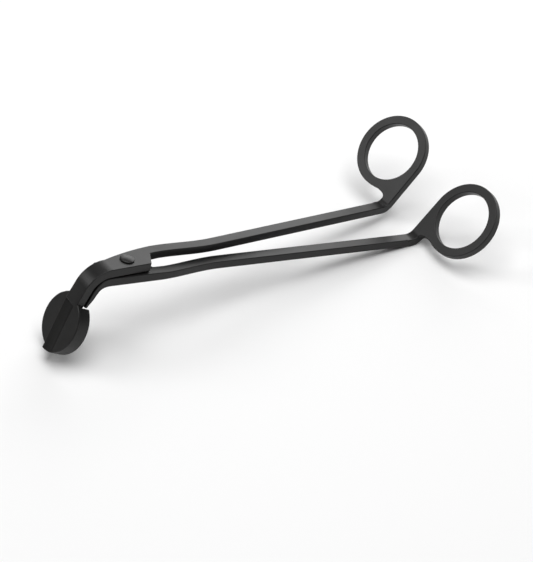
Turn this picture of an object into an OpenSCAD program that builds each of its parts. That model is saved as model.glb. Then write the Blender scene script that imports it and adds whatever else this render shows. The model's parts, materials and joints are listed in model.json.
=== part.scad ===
// Wick trimmer: two crossed levers on one rivet. Each lever is an arm that turns up into a flat
// finger ring at the back, and turns down into one half of a round cutting head at the front.
// The levers are drawn in the pivot's frame: origin on the rivet's axis halfway between the two
// laps, +X towards the finger rings, +Z along the rivet towards its domed head, upper lever's
// ring on the +Y side. lay_down() then sets the whole trimmer down as it lies on a table.

/* [Pivot] */
// Thickness of each lever at the lap round the rivet
lap_t = 3.35; // [2.8:0.05:4]
// Gap between the two laps, filled by the spacer washer
lap_gap = 0.45; // [0.35:0.05:0.7]
// Distance from the rivet to the square shoulder that ends the lap
lap_back = 9.8; // [8.5:0.1:11]
// Half width of the lap at its shoulder
lap_half_w = 4.4; // [4.1:0.05:5]
// Radius of the rivet's shank
shank_r = 1.85; // [1.5:0.05:2.1]
// Radial running clearance of the upper lever on the shank
pivot_play = 0.05; // [0.02:0.01:0.1]
// Radius of the rivet's domed head
rivet_head_r = 2.7; // [2.4:0.05:3.2]
// Height of the rivet's head above the lap
rivet_head_h = 0.9; // [0.7:0.05:1.3]
// Outer radius of the spacer washer
washer_r = 3.8; // [3:0.1:4]

/* [Arms] */
// Thickness of the arms and of the finger rings
arm_t = 3.1; // [2.5:0.1:3.3]
// Width of the arms
arm_w = 4.25; // [3.5:0.05:4.8]
// Distance from the rivet to the upper lever's elbow
upper_reach = 125; // [110:1:140]
// Distance from the rivet to the lower lever's elbow
lower_reach = 127.5; // [110:0.5:140]
// Angle between each arm and the line that halves them, with the jaws closed
arm_spread = 4; // [3.5:0.1:6]
// How far each arm steps outwards where it leaves the lap
arm_jog = 2.85; // [2.4:0.05:3.1]

/* [Finger rings] */
// Angle between an arm and its finger ring
ring_bend = 56; // [40:1:70]
// Radius of the finger hole
ring_in_r = 11.6; // [10:0.1:13]
// Width of the ring's band
ring_band = 3.45; // [3:0.05:4.2]
// Distance from the elbow to the ring's centre, along the ring
ring_out = 17.8; // [17:0.1:20]
// How far the ring's inner side stands inside the arm's centre line
ring_inset = 2.5; // [2.1:0.05:2.9]
// How far the ring's root stands outside the arm's centre line
ring_root = 2.4; // [2.2:0.1:3]
// Bend radius inside the upper lever's elbow
upper_elbow_r = 2.8; // [1.4:0.1:3.6]
// Bend radius inside the lower lever's elbow
lower_elbow_r = 4.4; // [1.4:0.1:4.8]

/* [Cutting head] */
// Angle that the head turns down from the laps
head_bend = 68.8; // [60:0.1:75]
// Distance from the rivet to the corner where the lap's plane meets the head's plane
head_corner = 13.4; // [12.5:0.1:16]
// Bend radius midway between the two necks
neck_r = 7.4; // [6:0.1:7.8]
// Neck's edge on the far side, towards the upper lever's ring
neck_far = 2.1; // [1.8:0.1:2.7]
// Neck's edge on the near side
neck_near = -4.7; // [-5:0.1:-4.3]
// Distance from the head's corner to the centre of the round head
disc_out = 21.3; // [20.7:0.1:23]
// Radius of the round head
disc_r = 11.4; // [10.6:0.1:12]
// Height of the rim walls, measured from each half's outer face
rim_h = 5.5; // [4.8:0.1:6.4]
// Thickness of the rim walls
rim_t = 1.4; // [1.1:0.1:1.8]
// Thickness of the tray floors
floor_t = 1.8; // [1.5:0.1:2.2]
// Angle of the cutting line to the head's centre line
cut_yaw = 7.1; // [4:0.1:9]
// How far the upper blade's edge passes the head's centre
blade_past = 1.65; // [1.1:0.05:2]
// How far the lower blade lies under the upper one
blade_overlap = 1.9; // [1:0.1:2.2]
// Width of the hollow-ground band along the upper blade's edge
grind_w = 6.3; // [4.6:0.1:7.4]
// Depth of the hollow grind at the cutting edge
grind_depth = 0.75; // [0.4:0.05:1.1]

/* [Hidden] */
$fn = 96;

black = "#2b2b2e";
washer_grey = "#77787c";

half_gap = lap_gap / 2;
top_z = half_gap + lap_t;
ring_r = ring_in_r + ring_band;
ring_side = ring_r - ring_inset;
blade_gap = 0.15;              // between the upper blade's back and the lower blade's face
neck_relief = 0.6;             // extra room between the two necks, so the upper one can swing
lower_neck_t = 2.15;           // the lower neck is thinner than its lap
tuck = 0.05;                   // buried sides stand this far inside the sides they join
play = 0.1;                    // free play under the rivet's head and over the washer
washer_t = lap_gap - play;
jog_from = 11;                 // the arm's outward step dies away between these distances
jog_to = 40;
bend_steps = 24;
wide = 80;                     // longer than anything that it cuts
shoulder = lap_back + 1;       // the lap's full thickness ends here
ramp_to = shoulder + 7;        // and has thinned to the arm's thickness before here
ramp_tip = 0.12;               // depth at which the ramp's end is buried in the arm

// Two unit vectors of the head: along it, and out of its outer face
head_dir = [-cos(head_bend), 0, -sin(head_bend)];
head_out = [-sin(head_bend), 0, cos(head_bend)];
bend_from = head_corner - neck_r * tan(head_bend / 2);

// Length of arm that an elbow of inside radius r takes up before the corner
function turn_of(r) = r * tan(ring_bend / 2);

// ---- Lying on a table: the lower half's rim and the lower elbow touch it
rim_tip = [-head_corner, 0, 0] + (disc_out + disc_r) * head_dir
        + (blade_gap / 2 + rim_h) * -head_out;
elbow_mid = [lower_reach - turn_of(lower_elbow_r), 0, -top_z + arm_t + lower_elbow_r];
rest_dx = elbow_mid[0] - rim_tip[0];
rest_dz = elbow_mid[2] - rim_tip[2];
lay_tilt = atan2(rest_dz, rest_dx) - asin((lower_elbow_r + arm_t) / norm([rest_dx, rest_dz]));

function laid(p) = [p[0] * cos(lay_tilt) + p[2] * sin(lay_tilt), p[1],
                    -p[0] * sin(lay_tilt) + p[2] * cos(lay_tilt)];
// Point in plan: s along the arm's centre line, v to its outer side
function on_arm(s, v) = [s * cos(arm_spread) - v * sin(arm_spread),
                         s * sin(arm_spread) + v * cos(arm_spread)];
function jog_at(s) = arm_jog * (1 + cos(180 * max(0, min(1, (s - jog_from) / (jog_to - jog_from))))) / 2;

// Middle of a ring's top face, in the pivot's frame
function ring_mid(side, reach, top) =
    [reach * cos(arm_spread), side * reach * sin(arm_spread), top]
    + ring_out * [cos(ring_bend) * cos(arm_spread), side * cos(ring_bend) * sin(arm_spread), sin(ring_bend)]
    + side * ring_side * [-side * sin(arm_spread), cos(arm_spread), 0];
function ring_axis(side) =
    [-sin(ring_bend) * cos(arm_spread), -side * sin(ring_bend) * sin(arm_spread), cos(ring_bend)];
function spread_of(n, k) = ring_r * sqrt(1 - n[k] * n[k]);

// Outermost points, which put the origin under the middle of the trimmer
upper_mid = laid(ring_mid(1, upper_reach, top_z));
lower_mid = laid(ring_mid(-1, lower_reach, -top_z + arm_t));
upper_axis = laid(ring_axis(1));
lower_axis = laid(ring_axis(-1));
head_mid = laid([-head_corner, 0, 0] + disc_out * head_dir + top_z * head_out);
head_axis = laid(head_out);
x_high = lower_mid[0] + spread_of(lower_axis, 0) + arm_t * max(0, -lower_axis[0]);
x_low = head_mid[0] - disc_r * sqrt(1 - head_axis[0] * head_axis[0]);
y_high = upper_mid[1] + spread_of(upper_axis, 1) + arm_t * max(0, -upper_axis[1]);
y_low = lower_mid[1] - spread_of(lower_axis, 1) - arm_t * max(0, lower_axis[1]);
z_low = laid(rim_tip)[2];

module lay_down() {
    translate([-(x_low + x_high) / 2, -(y_low + y_high) / 2, -z_low])
        rotate([0, lay_tilt, 0])
            children();
}

// Frame of the head: X along it, Y to the near side, Z out of its outer face
module at_head() {
    translate([-head_corner, 0, 0])
        rotate([0, -head_bend, 0])
            rotate([0, 0, 180])
                children();
}

// Frame of the cutting line: X along the cut, Y to the upper blade's side
module at_cut() {
    translate([disc_out, 0, 0])
        rotate([0, 0, cut_yaw])
            children();
}

// ---- Neck: a strip that follows the bend. Its outer and inner faces lie lap_out and lap_in above
// the midway line at the lap, and change to neck_out and neck_in round the bend. Behind the
// shoulder it thins in a ramp, whose end at height foot is buried in the arm.
function on_lap(x, w) = [x, w];
function on_bend(a, w) = [-bend_from - (neck_r + w) * sin(a), -neck_r + (neck_r + w) * cos(a)];
function on_head(u, w) = [-head_corner - u * cos(head_bend) - w * sin(head_bend),
                          -u * sin(head_bend) + w * cos(head_bend)];
function blend(a, b, t) = a + (b - a) * (1 - cos(180 * t)) / 2;

module strip(lap_out, neck_out, lap_in, neck_in, to_u, tip_in, foot) {
    angles = [for (k = [0 : bend_steps]) k * head_bend / bend_steps];
    function bent(lap, neck, a) = on_bend(a, blend(lap, neck, a / head_bend));
    translate([0, wide / 2, 0])
        rotate([90, 0, 0])
            linear_extrude(wide)
                polygon(concat([on_lap(ramp_to, foot), on_lap(shoulder, lap_out)],
                               [for (a = angles) bent(lap_out, neck_out, a)],
                               [on_head(to_u, neck_out), on_head(to_u, tip_in)],
                               [for (k = [bend_steps : -1 : 0]) bent(lap_in, neck_in, angles[k])],
                               [on_lap(shoulder, lap_in)]));
}

// Outline of a whole lever from above, as if its ring were on the +Y side. The bulges say how
// much fuller than a straight taper the two edges run from the lap to the neck.
module lever_outline(reach, root_from, neck_outer, neck_inner, outer_bulge, inner_bulge) {
    taper = [for (k = [0 : 8]) k / 8];
    outer_from = jog_from + 2;
    inner_from = lap_back - 2;
    half_w = arm_w / 2;
    past = 2.2;                // the outline ends inside the ring's root
    ss = [for (k = [0 : 12]) k / 12];
    function outer_s(t) = outer_from + t * (jog_to - outer_from);
    function inner_s(t) = shoulder + t * (jog_to - shoulder);
    function edge(from_x, from_y, to_y, bulge, t) =
        [from_x - t * (from_x + bend_from), to_y + (from_y - to_y) * (1 - t) * (1 + bulge * t)];
    outer_end = on_arm(outer_from, jog_at(outer_from) + half_w);
    polygon(concat(
        [for (t = ss) let (s = inner_s(t)) on_arm(s, jog_at(s) - half_w)],
        [on_arm(reach + past, -half_w), on_arm(reach + past, ring_root),
         on_arm(root_from + 2, ring_root), on_arm(root_from, half_w)],
        [for (t = ss) let (s = outer_s(1 - t)) on_arm(s, jog_at(s) + half_w)],
        [for (t = taper) if (t > 0) edge(outer_end[0], outer_end[1], neck_outer, outer_bulge, t)],
        [[-wide, neck_outer], [-wide, neck_inner]],
        [for (t = taper) edge(inner_from, -lap_half_w, neck_inner, inner_bulge, 1 - t)]));
}

// Arm and finger ring of a lever whose ring is on the +Y side, lying between z = 0 and arm_t.
// One bent bar gives both their faces; the child is the lever's outline from above.
module arm_and_ring(reach, elbow_r) {
    intersection() {
        bent_bar(reach, elbow_r);
        translate([0, 0, -wide])
            linear_extrude(2 * wide)
                children();
    }
    intersection() {
        bent_bar(reach, elbow_r);
        rotate([0, 0, arm_spread])
            translate([reach, 0, arm_t])
                rotate([0, -ring_bend, 0])
                    translate([0, 0, -2 * arm_t])
                        linear_extrude(3 * arm_t)
                            ring_outline();
    }
}

// Wide bar with the arm's and the ring's thickness, bent up at the elbow
module bent_bar(reach, elbow_r) {
    bar_from = 6;              // buried in the lap
    ring_end = ring_out + ring_r + 2;
    angles = [for (k = [0 : 12]) k * ring_bend / 12];
    function around(r, a) = [-turn_of(elbow_r) + r * sin(a), elbow_r - r * cos(a)];
    function along_ring(u, w) = [u * cos(ring_bend) - w * sin(ring_bend),
                                 u * sin(ring_bend) + w * cos(ring_bend)];
    rotate([0, 0, arm_spread])
        translate([reach, wide / 2, arm_t])
            rotate([90, 0, 0])
                linear_extrude(wide)
                    polygon(concat(
                        [[bar_from - reach, -arm_t], [bar_from - reach, 0]],
                        [for (a = angles) around(elbow_r, a)],
                        [along_ring(ring_end, 0), along_ring(ring_end, -arm_t)],
                        [for (k = [12 : -1 : 0]) around(elbow_r + arm_t, angles[k])]));
}

// Outline of a flat ring in its own plane: X away from the elbow, Y to the outer side
module ring_outline() {
    root_from = -2;            // buried in the elbow
    root_in = tuck - arm_w / 2;
    root_out = ring_root - tuck;
    flank_meets = 14;          // angle on the ring where the root's hollow flank meets it
    difference() {
        union() {
            translate([ring_out, ring_side])
                circle(ring_r);
            polygon([[root_from, root_in], [0, root_in], [ring_out, -ring_inset],
                     [ring_out, ring_side],
                     [ring_out - ring_r * cos(flank_meets), ring_side - ring_r * sin(flank_meets)],
                     [3.4, root_out + 4.8], [3.25, root_out + 2.4], [3, root_out + 1.2],
                     [2.5, root_out + 0.4], [1.9, root_out], [root_from, root_out]]);
        }
        translate([ring_out, ring_side])
            circle(ring_in_r);
    }
}

// Half of the round head's outline on one side of the cutting line; side is +1 for the upper blade
module half_disc(side, edge_y) {
    intersection() {
        translate([disc_out, 0])
            circle(disc_r);
        translate([disc_out, 0])
            rotate(cut_yaw)
                translate([-wide / 2, side > 0 ? edge_y : edge_y - wide])
                    square(wide);
    }
}

// Stretch of rim wall between two angles about the head's centre
module rim_wall(from_a, to_a) {
    difference() {
        intersection() {
            translate([disc_out, 0])
                circle(disc_r);
            translate([disc_out, 0])
                polygon(concat([[0, 0]], [for (k = [0 : 6]) let (a = from_a + k * (to_a - from_a) / 6)
                                          wide * [cos(a), sin(a)]]));
        }
        translate([disc_out, 0])
            circle(disc_r - rim_t);
    }
}

module upper_blade() {
    edge_y = -blade_past;
    bar_w = 4.6;               // the blade is full thickness this far behind its edge
    // radius of the grinding wheel that cuts the hollow band
    wheel_r = 40;
    wheel_rise = sqrt(wheel_r * wheel_r - grind_w * grind_w / 4);
    chord_a = atan2(grind_depth, grind_w);
    at_head() {
        difference() {
            union() {
                translate([0, 0, top_z - floor_t])
                    linear_extrude(floor_t)
                        half_disc(1, edge_y);
                translate([0, 0, blade_gap / 2])
                    linear_extrude(top_z - blade_gap / 2)
                        difference() {
                            half_disc(1, edge_y);
                            half_disc(1, edge_y + bar_w);
                        }
                translate([0, 0, top_z - rim_h])
                    linear_extrude(rim_h)
                        rim_wall(cut_yaw + 7, 150);
            }
            at_cut()
                translate([-wide / 2, edge_y + grind_w / 2, top_z - grind_depth / 2])
                    rotate([chord_a, 0, 0])
                        translate([0, 0, wheel_rise])
                            rotate([0, 90, 0])
                                cylinder(r = wheel_r, h = wide, $fn = 180);
        }
    }
}

module lower_blade() {
    edge_y = blade_overlap - blade_past;
    face = -blade_gap / 2;
    root_from = 6.4;           // buried in the neck
    at_head() {
        translate([0, 0, face - floor_t])
            linear_extrude(floor_t)
                half_disc(-1, edge_y);
        translate([0, 0, face - rim_h])
            linear_extrude(rim_h)
                rim_wall(cut_yaw - 10, -167);
        // root of the lower blade: carries the neck across to its half of the head
        translate([0, 0, face - neck_relief - tuck - floor_t])
            linear_extrude(floor_t)
                polygon([[root_from, 0.3 - neck_far], [root_from, -0.3 - neck_near], [8, -0.3 - neck_near],
                         [9.8, 4], [11.6, 3.1], [13.2, 1.6], [14.4, -0.7], [14, -4.1], [11, -3.7]]);
    }
}

module upper_outline() {
    root_from = upper_reach - turn_of(upper_elbow_r);
    lever_outline(upper_reach, root_from, neck_far, neck_near, 0.6, 0);
}

module lower_outline() {
    root_from = lower_reach - turn_of(lower_elbow_r);
    lever_outline(lower_reach, root_from, -neck_near, -neck_far, 0, 0.6);
}

module upper_lever() {
    neck_end = 12.3;
    foot = top_z - arm_t + ramp_tip;
    color(black)
        lay_down()
            difference() {
                union() {
                    intersection() {
                        strip(top_z, top_z, half_gap, half_gap, neck_end, half_gap, foot);
                        translate([0, 0, -wide])
                            linear_extrude(2 * wide)
                                upper_outline();
                    }
                    translate([0, 0, top_z - arm_t])
                        arm_and_ring(upper_reach, upper_elbow_r)
                            upper_outline();
                    upper_blade();
                }
                translate([0, 0, -wide / 2])
                    cylinder(r = shank_r + pivot_play, h = wide);
            }
}

module lower_lever() {
    neck_out = -blade_gap / 2 - neck_relief;
    neck_end = 11.8;
    foot = -top_z + arm_t - ramp_tip;
    color(black)
        lay_down()
            difference() {
                union() {
                    intersection() {
                        strip(-half_gap, neck_out, -top_z, neck_out - lower_neck_t, neck_end,
                              neck_out - 1, foot);
                        translate([0, 0, -wide])
                            linear_extrude(2 * wide)
                                mirror([0, 1])
                                    lower_outline();
                    }
                    translate([0, 0, -top_z])
                        mirror([0, 1, 0])
                            arm_and_ring(lower_reach, lower_elbow_r)
                                lower_outline();
                    lower_blade();
                }
                translate([0, 0, -wide / 2])
                    cylinder(r = shank_r, h = wide);
            }
}

// Rivet: a low domed head above the upper lap, a plain shank, and a tail spread under the lower lap
module pivot_rivet() {
    rim = 0.35;
    cap_h = rivet_head_h - play - rim;
    cap_r = (rivet_head_r * rivet_head_r + cap_h * cap_h) / (2 * cap_h);
    head_z = top_z + play;
    tail_h = 0.6;
    color(black)
        lay_down() {
            translate([0, 0, head_z])
                cylinder(r = rivet_head_r, h = rim);
            intersection() {
                translate([0, 0, head_z + rim + cap_h - cap_r])
                    sphere(cap_r);
                translate([0, 0, head_z + rim])
                    cylinder(r = rivet_head_r, h = cap_h + 1);
            }
            translate([0, 0, -top_z])
                cylinder(r = shank_r, h = head_z + top_z);
            translate([0, 0, -top_z - tail_h])
                cylinder(r1 = shank_r + 0.2, r2 = rivet_head_r - 0.3, h = tail_h);
        }
}

module spacer_washer() {
    color(washer_grey)
        lay_down()
            translate([0, 0, -half_gap])
                difference() {
                    cylinder(r = washer_r, h = washer_t);
                    translate([0, 0, -1])
                        cylinder(r = shank_r + pivot_play, h = washer_t + 2);
                }
}

upper_lever();
lower_lever();
pivot_rivet();
spacer_washer();
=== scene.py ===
import json
from math import cos, pi, radians, sin, sqrt

import bmesh
import bpy
from mathutils import Matrix, Vector


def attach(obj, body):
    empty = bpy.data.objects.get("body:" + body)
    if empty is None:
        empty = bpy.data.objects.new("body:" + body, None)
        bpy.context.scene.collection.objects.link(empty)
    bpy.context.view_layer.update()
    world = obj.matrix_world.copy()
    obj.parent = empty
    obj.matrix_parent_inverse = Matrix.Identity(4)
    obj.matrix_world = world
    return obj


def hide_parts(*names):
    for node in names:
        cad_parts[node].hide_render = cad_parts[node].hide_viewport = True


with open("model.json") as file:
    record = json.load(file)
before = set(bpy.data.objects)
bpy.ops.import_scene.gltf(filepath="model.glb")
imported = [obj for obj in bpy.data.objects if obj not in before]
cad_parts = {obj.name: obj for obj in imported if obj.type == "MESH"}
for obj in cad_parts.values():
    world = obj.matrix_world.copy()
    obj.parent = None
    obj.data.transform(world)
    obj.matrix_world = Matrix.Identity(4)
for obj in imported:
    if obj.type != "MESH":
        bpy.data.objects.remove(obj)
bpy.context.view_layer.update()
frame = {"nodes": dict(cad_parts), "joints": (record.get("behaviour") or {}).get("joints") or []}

# %% [markdown]
# A candle wick trimmer, closed and lying on a table: two forged steel levers under one coat of
# satin black, a round-headed rivet and a thin washer between the laps. Blender's job is the look:
# the soft edges of a forging that was tumbled before it was coated, and the coat itself. Shape,
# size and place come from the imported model. The few lengths that its file doesn't carry by name,
# such as the head's tilt and the rivet's radii, are given here as its source gives them.

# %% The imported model
MM = 0.001
hinge = next(joint for joint in frame["joints"] if joint["name"] == "pivot")
PIVOT = Vector(hinge["pos_m"])
RIVET_AXIS = Vector(hinge["axis"]).normalized()
TO_RINGS = Vector((RIVET_AXIS.z, 0, -RIVET_AXIS.x))
print("nodes:", sorted(frame["nodes"]))
print("rivet stands at", [round(x / MM, 2) for x in PIVOT], "mm, along", [round(x, 3) for x in RIVET_AXIS])

# %% [markdown]
# The cutting head is a round tray turned down from the laps, and the two blades slide past each
# other in its middle plane. Several finishes need to know where that plane and the cutting line
# lie, so both are worked out once here, from the same five measures that set them on the tool.

# %% Where the blades cut
HEAD_BEND = radians(68.8)
LAP_TO_CORNER = 13.4 * MM
CORNER_TO_MIDDLE = 21.3 * MM
CUT_YAW = radians(7.1)                 # the cut runs slightly across the head
EDGE_PAST_MIDDLE = 1.65 * MM

head_along = -cos(HEAD_BEND) * TO_RINGS - sin(HEAD_BEND) * RIVET_AXIS
head_out = -sin(HEAD_BEND) * TO_RINGS + cos(HEAD_BEND) * RIVET_AXIS
near_side = Vector((0, -1, 0))
head_middle = PIVOT - LAP_TO_CORNER * TO_RINGS + CORNER_TO_MIDDLE * head_along
cut_along = cos(CUT_YAW) * head_along + sin(CUT_YAW) * near_side
cut_across = cos(CUT_YAW) * near_side - sin(CUT_YAW) * head_along


def in_head(point):
    """How far a point is along the cut, across it from the upper edge, and out of the head's plane."""
    gone = point - head_middle
    return gone.dot(cut_along), gone.dot(cut_across) + EDGE_PAST_MIDDLE, gone.dot(head_out)


print("head's middle", [round(x / MM, 2) for x in head_middle], "mm")
print("head faces", [round(x, 3) for x in head_out])

# %% [markdown]
# The camera looks down the trimmer from its cutting head, from well above the table. A long lens
# from over three quarters of a metre away keeps the two finger rings nearly the same size. The
# camera is leaned a few degrees, so the tool climbs across the picture a little less steeply.

# %% Camera
LOOK_AT = Vector((-7.54, -17.04, 15)) * MM
CAMERA_DISTANCE = 824.8 * MM
CAMERA_AZIMUTH = radians(-37.54)       # 0 looks along +Y, and negative turns towards the head
CAMERA_HEIGHT = radians(38.6)
CAMERA_LEAN = radians(5.87)
LENS = 145.4                           # millimetres
SENSOR = 36                            # millimetres along the picture's longer side
NEAREST = 0.05                         # metres: nothing closer than this is drawn

camera = bpy.data.objects.new("camera", bpy.data.cameras.new("camera"))
bpy.context.scene.collection.objects.link(camera)
bpy.context.scene.camera = camera
camera.data.lens = LENS
camera.data.sensor_width = SENSOR
camera.data.clip_start = NEAREST
away = Vector((sin(CAMERA_AZIMUTH) * cos(CAMERA_HEIGHT), -cos(CAMERA_AZIMUTH) * cos(CAMERA_HEIGHT),
               sin(CAMERA_HEIGHT)))
camera.matrix_world = (Matrix.Translation(LOOK_AT + CAMERA_DISTANCE * away)
                       @ Matrix.Rotation(CAMERA_AZIMUTH, 4, "Z")
                       @ Matrix.Rotation(pi / 2 - CAMERA_HEIGHT, 4, "X")
                       @ Matrix.Rotation(CAMERA_LEAN, 4, "Z"))
print("camera at", [round(x, 3) for x in camera.matrix_world.translation])

# %% [markdown]
# Satin black shows little of itself but what it reflects, so the lamps decide how it reads. The
# room is kept dim, because everything it adds greys the whole tool. Then two panels are put where
# one set of faces mirrors them towards the camera: a big one far behind gives the arms and the lap
# their even grey, and a weaker one to the left gives the finger rings a darker grey. Nothing
# stands low on the left, so the turned-down head stays nearly black. A third panel, overhead,
# lights the table. The Standard view transform keeps the pale table pale.

# %% Floor and lights
PALE = 0.86
FLOOR_REACH = 3                        # metres from the middle to each side
FLOOR_ROUGHNESS = 0.9
FLOOR_SHINE = 0.1
ROOM = 0.1
PANELS = {                             # place and size in metres, then power in watts
    "overhead_panel": ((0.05, -0.05, 1.3), (1.3, 1.3), 17.5),
    "arm_panel": ((0.82, 0.75, 0.47), (0.9, 0.7), 6),
    "ring_panel": ((-0.79, 0.62, 0.72), (0.55, 0.5), 4),
}


def soft_panel(name, at, size, watts):
    """A rectangular lamp that faces the tool, which stands at the origin."""
    lamp = bpy.data.lights.new(name, "AREA")
    lamp.shape = "RECTANGLE"
    lamp.size, lamp.size_y = size
    lamp.energy = watts
    panel = bpy.data.objects.new(name, lamp)
    bpy.context.scene.collection.objects.link(panel)
    turn = (-Vector(at)).to_track_quat("-Z", "Y")
    panel.matrix_world = Matrix.Translation(at) @ turn.to_matrix().to_4x4()


def pale_floor():
    bm = bmesh.new()
    bmesh.ops.create_grid(bm, x_segments=1, y_segments=1, size=FLOOR_REACH)
    mesh = bpy.data.meshes.new("floor")
    bm.to_mesh(mesh)
    bm.free()
    floor = bpy.data.objects.new("floor", mesh)
    bpy.context.scene.collection.objects.link(floor)
    paint = bpy.data.materials.new("pale_floor")
    paint.use_nodes = True
    shader = paint.node_tree.nodes["Principled BSDF"]
    shader.inputs["Base Color"].default_value = (PALE, PALE, PALE, 1)
    shader.inputs["Roughness"].default_value = FLOOR_ROUGHNESS
    shader.inputs["Specular IOR Level"].default_value = FLOOR_SHINE
    mesh.materials.append(paint)


pale_floor()
world = bpy.data.worlds.new("room")
world.use_nodes = True
world.node_tree.nodes["Background"].inputs["Color"].default_value = (1, 1, 1, 1)
world.node_tree.nodes["Background"].inputs["Strength"].default_value = ROOM
bpy.context.scene.world = world
bpy.context.scene.view_settings.view_transform = "Standard"
for panel_name, (panel_at, panel_size, panel_watts) in PANELS.items():
    soft_panel(panel_name, panel_at, panel_size, panel_watts)
print("floor is set, with", len(PANELS), "lamps")

# %% [markdown]
# Every finish below is a small tree of nodes. This helper adds one node, sets its options and
# fills its sockets: a socket given another node's output is linked, and one given a number or a
# colour is set. A name such as _0 picks a socket by its place, where several share one label.

# %% A helper for nodes
def add_node(tree, kind, options=None, **sockets):
    node = tree.nodes.new(kind)
    for option, value in (options or {}).items():
        setattr(node, option, value)
    for name, value in sockets.items():
        socket = node.inputs[int(name[1:])] if name[0] == "_" else node.inputs[name.replace("_", " ")]
        if isinstance(value, bpy.types.NodeSocket):
            tree.links.new(value, socket)
        else:
            socket.default_value = value
    return node


def new_group(name, inputs, outputs):
    """An empty node group with its named sockets; gives the tree, its inputs and its output node."""
    tree = bpy.data.node_groups.new(name, "ShaderNodeTree")
    for label, kind, value in inputs:
        socket = tree.interface.new_socket(label, in_out="INPUT", socket_type=kind)
        if value is not None:
            socket.default_value = value
    for label, kind in outputs:
        tree.interface.new_socket(label, in_out="OUTPUT", socket_type=kind)
    return tree, tree.nodes.new("NodeGroupInput").outputs, tree.nodes.new("NodeGroupOutput").inputs


FLOAT = "NodeSocketFloat"
VECTOR = "NodeSocketVector"
print("node helpers are ready")

# %% [markdown]
# A sprayed and baked coat is never quite flat. It dries with a faint orange peel, about half a
# millimetre from hump to hump, over a much finer grain that makes it satin. Over centimetres its
# depth and gloss drift a little. One group gives all three from the piece's own coordinates, and
# every coated piece uses it. Its sizes count features per metre, so a bigger one is finer.

# %% Skin of a baked coat
PEEL_PER_METRE = 1800
GRAIN_PER_METRE = 9000
DRIFT_PER_METRE = 90
DRIFT_LOW = 0.3                        # a noise seldom goes below this, or above the next
DRIFT_HIGH = 0.7
GRAIN_SHARE = 0.3                      # how high the grain stands, beside the peel


def baked_skin_group():
    tree, given, result = new_group(
        "baked_skin",
        [("Place", VECTOR, None), ("Peel Size", FLOAT, PEEL_PER_METRE),
         ("Grain Size", FLOAT, GRAIN_PER_METRE), ("Drift Size", FLOAT, DRIFT_PER_METRE)],
        [("Drift", FLOAT), ("Grain", FLOAT), ("Height", FLOAT)])
    drift = add_node(tree, "ShaderNodeTexNoise", Vector=given["Place"], Scale=given["Drift Size"],
                     Detail=3, Roughness=0.55)
    drift_even = add_node(tree, "ShaderNodeMapRange", Value=drift.outputs["Fac"], From_Min=DRIFT_LOW,
                          From_Max=DRIFT_HIGH)
    grain = add_node(tree, "ShaderNodeTexNoise", Vector=given["Place"], Scale=given["Grain Size"],
                     Detail=2, Roughness=0.6)
    peel = add_node(tree, "ShaderNodeTexNoise", Vector=given["Place"], Scale=given["Peel Size"],
                    Detail=1, Roughness=0.4)
    low_grain = add_node(tree, "ShaderNodeMath", {"operation": "MULTIPLY"}, _0=grain.outputs["Fac"],
                         _1=GRAIN_SHARE)
    height = add_node(tree, "ShaderNodeMath", {"operation": "ADD"}, _0=peel.outputs["Fac"],
                      _1=low_grain.outputs[0])
    tree.links.new(drift_even.outputs["Result"], result["Drift"])
    tree.links.new(grain.outputs["Fac"], result["Grain"])
    tree.links.new(height.outputs[0], result["Height"])
    return tree


baked_skin = baked_skin_group()
print(baked_skin.name, "has", len(baked_skin.nodes), "nodes")

# %% [markdown]
# Handling rubs a coat thin along its edges first. An edge is found by comparing the surface's
# own direction with the direction averaged over a small ball: they differ only near a corner.
# A noise breaks the line up, because wear is never even.

# %% Wear along the edges
WEAR_REACH = 0.4 * MM
PATCHES_PER_METRE = 400
BALL_SAMPLES = 6
EDGE_BEGINS = 0.995                    # how alike the two directions are where wear begins
EDGE_FULL = 0.9                        # and where it is full
PATCH_BEGINS = 0.38
PATCH_FULL = 0.62


def edge_wear_group():
    tree, given, result = new_group(
        "edge_wear",
        [("Place", VECTOR, None), ("Reach", FLOAT, WEAR_REACH), ("Patch Size", FLOAT, PATCHES_PER_METRE)],
        [("Wear", FLOAT)])
    ball = add_node(tree, "ShaderNodeBevel", {"samples": BALL_SAMPLES}, Radius=given["Reach"])
    own = add_node(tree, "ShaderNodeNewGeometry")
    alike = add_node(tree, "ShaderNodeVectorMath", {"operation": "DOT_PRODUCT"}, _0=ball.outputs["Normal"],
                     _1=own.outputs["Normal"])
    corner = add_node(tree, "ShaderNodeMapRange", {"interpolation_type": "SMOOTHSTEP"},
                      Value=alike.outputs["Value"], From_Min=EDGE_BEGINS, From_Max=EDGE_FULL)
    patches = add_node(tree, "ShaderNodeTexNoise", Vector=given["Place"], Scale=given["Patch Size"],
                       Detail=4, Roughness=0.65)
    worn = add_node(tree, "ShaderNodeMapRange", {"interpolation_type": "SMOOTHSTEP"},
                    Value=patches.outputs["Fac"], From_Min=PATCH_BEGINS, From_Max=PATCH_FULL)
    both = add_node(tree, "ShaderNodeMath", {"operation": "MULTIPLY"}, _0=corner.outputs["Result"],
                    _1=worn.outputs["Result"])
    tree.links.new(both.outputs[0], result["Wear"])
    return tree


edge_wear = edge_wear_group()
print(edge_wear.name, "has", len(edge_wear.nodes), "nodes")

# %% [markdown]
# A grinding wheel leaves fine parallel lines. Stretching a noise hard in one direction draws
# them: close together along the cut, and long across it, as the wheel ran from back to edge.

# %% Lines left by a grinding wheel
LINES_PER_METRE = 5000
ACROSS_SHARE = 0.02                    # how fast the noise changes in other directions


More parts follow.
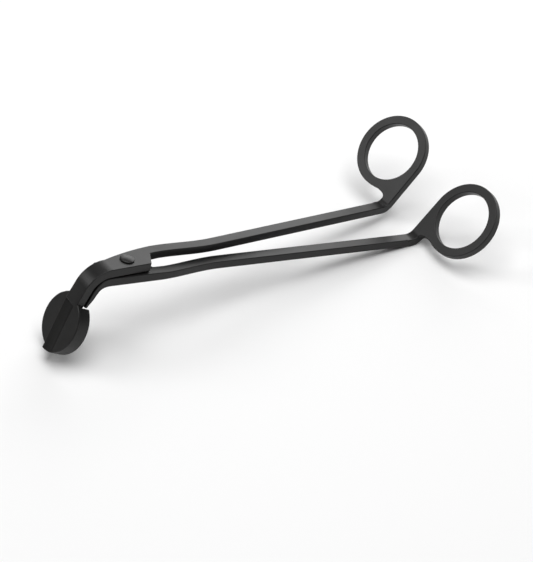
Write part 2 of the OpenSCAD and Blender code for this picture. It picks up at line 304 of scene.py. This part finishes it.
def wheel_lines_group():
    tree, given, result = new_group(
        "wheel_lines",
        [("Place", VECTOR, None), ("Step", VECTOR, tuple(cut_along)), ("Line Size", FLOAT, LINES_PER_METRE)],
        [("Lines", FLOAT)])
    along = add_node(tree, "ShaderNodeVectorMath", {"operation": "DOT_PRODUCT"}, _0=given["Place"],
                     _1=given["Step"])
    sideways = add_node(tree, "ShaderNodeVectorMath", {"operation": "SCALE"}, _0=given["Place"],
                        Scale=ACROSS_SHARE)
    stretched = add_node(tree, "ShaderNodeVectorMath", {"operation": "MULTIPLY_ADD"}, _0=given["Step"],
                         _2=sideways.outputs["Vector"])
    tree.links.new(along.outputs["Value"], stretched.inputs[1])
    lines = add_node(tree, "ShaderNodeTexNoise", Vector=stretched.outputs["Vector"],
                     Scale=given["Line Size"], Detail=3, Roughness=0.7)
    tree.links.new(lines.outputs["Fac"], result["Lines"])
    return tree


wheel_lines = wheel_lines_group()
print(wheel_lines.name, "has", len(wheel_lines.nodes), "nodes")

# %% [markdown]
# The coat is a dark, slightly warm black over steel. It stays a plain dielectric, because a
# baked coat is a plastic: metal shows only in the worn edges, and even there as dark grey.
# Where the coat drifts deeper it is glossier, and where it is worn it is smoother and lighter.

# %% Finishes
COAT_DEEP = (0.0055, 0.0054, 0.0054, 1)
COAT_THIN = (0.0105, 0.0102, 0.0098, 1)
COAT_WORN = (0.05, 0.05, 0.052, 1)
COAT_GLOSS = 0.3                       # specular level: the coat is matter than bare plastic
GROUND_GLOSS = 0.08                    # the coat dries duller in the hollow that the wheel left
COAT_HUMP = 9e-6                       # metres that a skin height of 1 stands up
GROUND_HUMP = 7e-6
RIVET_PEEL_PER_METRE = 2600
RIVET_WEAR_REACH = 0.25 * MM
GRAIN_ROUGHENS = 0.06
WEAR_SMOOTHS = -0.08


def use_group(tree, group, **sockets):
    return add_node(tree, "ShaderNodeGroup", {"node_tree": group}, **sockets)


def mix_colours(tree, share, first, second):
    """The first colour where share is 0 and the second where it is 1."""
    mix = add_node(tree, "ShaderNodeMix", {"data_type": "RGBA"}, _0=share, _6=first, _7=second)
    return mix.outputs[2]


def black_coat(name, roughness, peel=PEEL_PER_METRE, wear_reach=WEAR_REACH, hump=COAT_HUMP,
               shine=COAT_GLOSS, ground=False):
    """roughness is that of the deepest coat and of the thinnest. ground adds the wheel's lines."""
    paint = bpy.data.materials.new(name)
    paint.use_nodes = True
    tree = paint.node_tree
    shader = tree.nodes["Principled BSDF"]
    shader.inputs["Specular IOR Level"].default_value = shine
    place = add_node(tree, "ShaderNodeTexCoord").outputs["Object"]
    skin = use_group(tree, baked_skin, Place=place, Peel_Size=peel)
    wear = use_group(tree, edge_wear, Place=place, Reach=wear_reach)
    colour = mix_colours(tree, skin.outputs["Drift"], COAT_DEEP, COAT_THIN)
    rubbed = mix_colours(tree, wear.outputs["Wear"], colour, COAT_WORN)
    tree.links.new(rubbed, shader.inputs["Base Color"])
    drifting = add_node(tree, "ShaderNodeMapRange", Value=skin.outputs["Drift"], To_Min=roughness[0],
                        To_Max=roughness[1])
    grainy = add_node(tree, "ShaderNodeMath", {"operation": "MULTIPLY_ADD"}, _0=skin.outputs["Grain"],
                      _1=GRAIN_ROUGHENS, _2=drifting.outputs["Result"])
    smoother = add_node(tree, "ShaderNodeMath", {"operation": "MULTIPLY_ADD"}, _0=wear.outputs["Wear"],
                        _1=WEAR_SMOOTHS, _2=grainy.outputs[0])
    tree.links.new(smoother.outputs[0], shader.inputs["Roughness"])
    height = skin.outputs["Height"]
    if ground:
        lines = use_group(tree, wheel_lines, Place=place)
        height = add_node(tree, "ShaderNodeMath", {"operation": "ADD"}, _0=height,
                          _1=lines.outputs["Lines"]).outputs[0]
    bump = add_node(tree, "ShaderNodeBump", Strength=1, Distance=hump, Height=height)
    tree.links.new(bump.outputs["Normal"], shader.inputs["Normal"])
    return paint


lever_coat = black_coat("lever_coat", (0.31, 0.37))
ground_coat = black_coat("ground_coat", (0.36, 0.44), hump=GROUND_HUMP, shine=GROUND_GLOSS,
                         ground=True)
rivet_coat = black_coat("rivet_coat", (0.26, 0.33), peel=RIVET_PEEL_PER_METRE,
                        wear_reach=RIVET_WEAR_REACH)
print("coats:", lever_coat.name, ground_coat.name, rivet_coat.name)

# %% [markdown]
# The washer is bare steel that was stamped from sheet and spun against the laps: it carries fine
# turned rings round its hole, under a thin film of grey oil.

# %% Washer steel
RINGS_PER_METRE = 9000
FILM_PER_METRE = 900
OIL_THICK = (0.12, 0.12, 0.13, 1)
OIL_THIN = (0.3, 0.3, 0.31, 1)
RING_SMOOTH = 0.3
RING_ROUGH = 0.5
RING_HUMP = 4e-6                       # metres


def turned_steel(name):
    steel = bpy.data.materials.new(name)
    steel.use_nodes = True
    tree = steel.node_tree
    shader = tree.nodes["Principled BSDF"]
    shader.inputs["Metallic"].default_value = 1
    place = add_node(tree, "ShaderNodeTexCoord").outputs["Object"]
    centred = add_node(tree, "ShaderNodeVectorMath", {"operation": "SUBTRACT"}, _0=place, _1=tuple(PIVOT))
    far = add_node(tree, "ShaderNodeVectorMath", {"operation": "LENGTH"}, _0=centred.outputs["Vector"])
    rings = add_node(tree, "ShaderNodeTexNoise", {"noise_dimensions": "1D"}, W=far.outputs["Value"],
                     Scale=RINGS_PER_METRE, Detail=2)
    film = add_node(tree, "ShaderNodeTexNoise", Vector=place, Scale=FILM_PER_METRE, Detail=3)
    tone = add_node(tree, "ShaderNodeValToRGB", Fac=film.outputs["Fac"])
    tone.color_ramp.elements[0].color = OIL_THICK
    tone.color_ramp.elements[1].color = OIL_THIN
    tree.links.new(tone.outputs["Color"], shader.inputs["Base Color"])
    rough = add_node(tree, "ShaderNodeMapRange", Value=rings.outputs["Fac"], To_Min=RING_SMOOTH,
                     To_Max=RING_ROUGH)
    tree.links.new(rough.outputs["Result"], shader.inputs["Roughness"])
    bump = add_node(tree, "ShaderNodeBump", Strength=1, Distance=RING_HUMP, Height=rings.outputs["Fac"])
    tree.links.new(bump.outputs["Normal"], shader.inputs["Normal"])
    return steel


washer_steel = turned_steel("washer_steel")
print(washer_steel.name, "is ready")

# %% [markdown]
# The levers are forged in one piece each, and no edge on them is sharp but the ones that cut.
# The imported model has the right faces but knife-sharp corners, which no real coating can cover.
# A Bevel modifier would round them live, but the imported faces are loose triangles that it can't
# join, and its clamp shrinks every edge to suit the tightest spot. So a copy is merged, cleaned
# and rounded once by the bevel operator, unclamped, with one radius along the whole lever. Where
# the blades slide past each other the edges are left sharp, because they do the cutting.

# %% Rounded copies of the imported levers
SAME_POINT = 0.08 * MM                 # points nearer than this become one
FLAT = radians(0.6)                    # faces that turn less than this become one
CORNER = radians(28)                   # edges that turn more than this are rounded
EDGE_RADIUS = 0.3 * MM
ROUND_STEPS = 3
BIG_FACE_SHARE = 80                    # how far a broad face outweighs a narrow one
BLADE_PLANE = 0.2 * MM                 # a cutting edge lies this near the head's middle plane,
BLADE_REACH = 2.6 * MM                 # and this near the upper blade's edge


def is_cutting(edge):
    across, out = in_head((edge.verts[0].co + edge.verts[1].co) / 2)[1:]
    return abs(out) < BLADE_PLANE and abs(across) < BLADE_REACH


def is_corner(edge):
    return len(edge.link_faces) == 2 and edge.calc_face_angle() > CORNER and not is_cutting(edge)


def round_edges(bm, edges, radius, clamp):
    """Rounds the edges, shades the faces smoothly and gives how many edges are left open."""
    bmesh.ops.bevel(bm, geom=edges, offset=radius, offset_type="OFFSET", segments=ROUND_STEPS, profile=0.5,
                    affect="EDGES", material=-1, clamp_overlap=clamp, loop_slide=True)
    for face in bm.faces:
        face.smooth = True
    return sum(1 for edge in bm.edges if len(edge.link_faces) != 2)


def rounded_copy(name, node, radius):
    bm = bmesh.new()
    bm.from_mesh(frame["nodes"][node].data)
    bmesh.ops.remove_doubles(bm, verts=bm.verts, dist=SAME_POINT)
    bmesh.ops.dissolve_degenerate(bm, dist=SAME_POINT, edges=bm.edges)
    bmesh.ops.dissolve_limit(bm, angle_limit=FLAT, verts=bm.verts, edges=bm.edges)
    corners = [edge for edge in bm.edges if is_corner(edge)]
    before = len(bm.faces)
    rounded = len(corners)
    open_edges = round_edges(bm, corners, radius, clamp=False)
    print(name, "faces", before, "->", len(bm.faces), "open edges", open_edges, "corners", rounded)
    return finished(name, bm)


def finished(name, bm):
    mesh = bpy.data.meshes.new(name)
    bm.to_mesh(mesh)
    bm.free()
    piece = bpy.data.objects.new(name, mesh)
    bpy.context.scene.collection.objects.link(piece)
    return piece


def even_normals(piece):
    weight = piece.modifiers.new("even_normals", "WEIGHTED_NORMAL")
    weight.mode = "FACE_AREA_WITH_ANGLE"
    weight.weight = BIG_FACE_SHARE


print("corners are rounded to", round(EDGE_RADIUS / MM, 2), "mm in", ROUND_STEPS, "steps")

# %% [markdown]
# The hollow-ground band along the upper blade was cut by a wheel before the lever was coated, so
# it carries the wheel's lines under the coat. It gets a duller coat with those lines added, on
# the faces that lie within the band and face nearly outwards.

# %% The two levers
GRIND_WIDTH = 6.3 * MM
UPPER_FACE = 3.575 * MM                # the upper blade's outer face, from the head's middle plane
BAND_DEPTH = 0.9 * MM                  # a little deeper than the wheel went
BAND_REACH = 12 * MM                   # from the head's middle to just past its rim
EDGE_SLACK = 0.1 * MM
FACE_SLACK = 0.01 * MM
FACES_OUT = 0.9                        # how alike a ground face's direction is to the head's
GROUND_SLOT = 1                        # place of ground_coat in a lever's list of materials


def is_ground(face):
    along, across, out = in_head(face.center)
    in_length = abs(along) < BAND_REACH
    in_width = -EDGE_SLACK < across < GRIND_WIDTH
    in_depth = UPPER_FACE - BAND_DEPTH < out < UPPER_FACE - FACE_SLACK
    return face.normal.dot(head_out) > FACES_OUT and in_length and in_width and in_depth


def lever(name, node, body):
    piece = rounded_copy(name, node, EDGE_RADIUS)
    even_normals(piece)
    piece.data.materials.append(lever_coat)
    piece.data.materials.append(ground_coat)
    ground = [face for face in piece.data.polygons if is_ground(face)]
    for face in ground:
        face.material_index = GROUND_SLOT
    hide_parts(node)
    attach(piece, body)
    print(name, "has", len(ground), "ground faces")


lever("upper_forging", "upper_lever", "upper")
lever("lower_forging", "lower_lever", "lower")

# %% [markdown]
# A rivet and a washer are turned shapes, so each is one side of its section swept once round the
# rivet's axis. The section is a few points joined by edges. The spin makes the faces, and a light
# bevel takes the sharpness off every rim.

# %% Turning a piece on the rivet's axis
TURN_STEPS = 96
SEAM = 0.001 * MM                      # points this close, at the seam and poles, are one


def turned(name, outline, closed, soften):
    """outline is pairs of radius and height above the gap's middle, both in millimetres."""
    bm = bmesh.new()
    ring = [bm.verts.new(PIVOT + r * MM * TO_RINGS + z * MM * RIVET_AXIS) for r, z in outline]
    pairs = list(zip(ring, ring[1:])) + ([(ring[-1], ring[0])] if closed else [])
    edges = [bm.edges.new(pair) for pair in pairs]
    bmesh.ops.spin(bm, geom=ring + edges, cent=PIVOT, axis=RIVET_AXIS, angle=2 * pi, steps=TURN_STEPS,
                   use_merge=True, use_duplicate=False)
    bmesh.ops.remove_doubles(bm, verts=bm.verts, dist=SEAM)
    bmesh.ops.recalc_face_normals(bm, faces=bm.faces)
    sharp = [edge for edge in bm.edges if len(edge.link_faces) == 2 and edge.calc_face_angle() > CORNER]
    open_edges = round_edges(bm, sharp, soften, clamp=True)
    volume = round(bm.calc_volume() / MM ** 3, 1)
    print(name, "faces", len(bm.faces), "open edges", open_edges, "volume", volume, "mm3")
    return finished(name, bm)


print("a turned piece has", TURN_STEPS, "steps round it")

# %% [markdown]
# The rivet's head was set with a cupped punch, so its top is part of a large sphere standing on
# a short straight rim. Under the lower lap the shank was spread into a flat tail. Lengths are in
# millimetres, and heights are measured from the middle of the gap between the laps.

# %% The rivet
HEAD_R = 2.7
HEAD_FROM = 3.675
HEAD_RIM = 0.35
HEAD_RISE = 0.45
SHANK_R = 1.85
TAIL_FROM = -3.575
TAIL_TO = TAIL_FROM - 0.6
TAIL_R = 2.4
TAIL_TIP_R = 2.05
DOME_STEPS = 10
RIVET_SOFTNESS = 0.12 * MM
dome_r = (HEAD_R ** 2 + HEAD_RISE ** 2) / (2 * HEAD_RISE)
dome_middle = HEAD_FROM + HEAD_RIM + HEAD_RISE - dome_r
dome_radii = [HEAD_R * k / DOME_STEPS for k in range(DOME_STEPS + 1)]
dome = [(r, dome_middle + sqrt(dome_r ** 2 - r ** 2)) for r in dome_radii]
under_head = [(HEAD_R, HEAD_FROM), (SHANK_R, HEAD_FROM)]
tail = [(SHANK_R, TAIL_FROM), (TAIL_R, TAIL_FROM), (TAIL_TIP_R, TAIL_TO), (0, TAIL_TO)]
rivet = turned("domed_rivet", dome + under_head + tail, closed=False, soften=RIVET_SOFTNESS)
even_normals(rivet)
rivet.data.materials.append(rivet_coat)
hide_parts("pivot_rivet")
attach(rivet, "lower")

# %% [markdown]
# The washer keeps the laps apart, which is the even dark gap seen between them from the side.

# %% The washer
WASHER_R = 3.8
WASHER_HOLE_R = 1.9
WASHER_FROM = -0.225
WASHER_TO = 0.125
WASHER_SOFTNESS = 0.05 * MM
washer_section = [(WASHER_HOLE_R, WASHER_FROM), (WASHER_R, WASHER_FROM), (WASHER_R, WASHER_TO),
                  (WASHER_HOLE_R, WASHER_TO)]
washer = turned("gap_washer", washer_section, closed=True, soften=WASHER_SOFTNESS)
even_normals(washer)
washer.data.materials.append(washer_steel)
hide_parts("spacer_washer")
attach(washer, "lower")
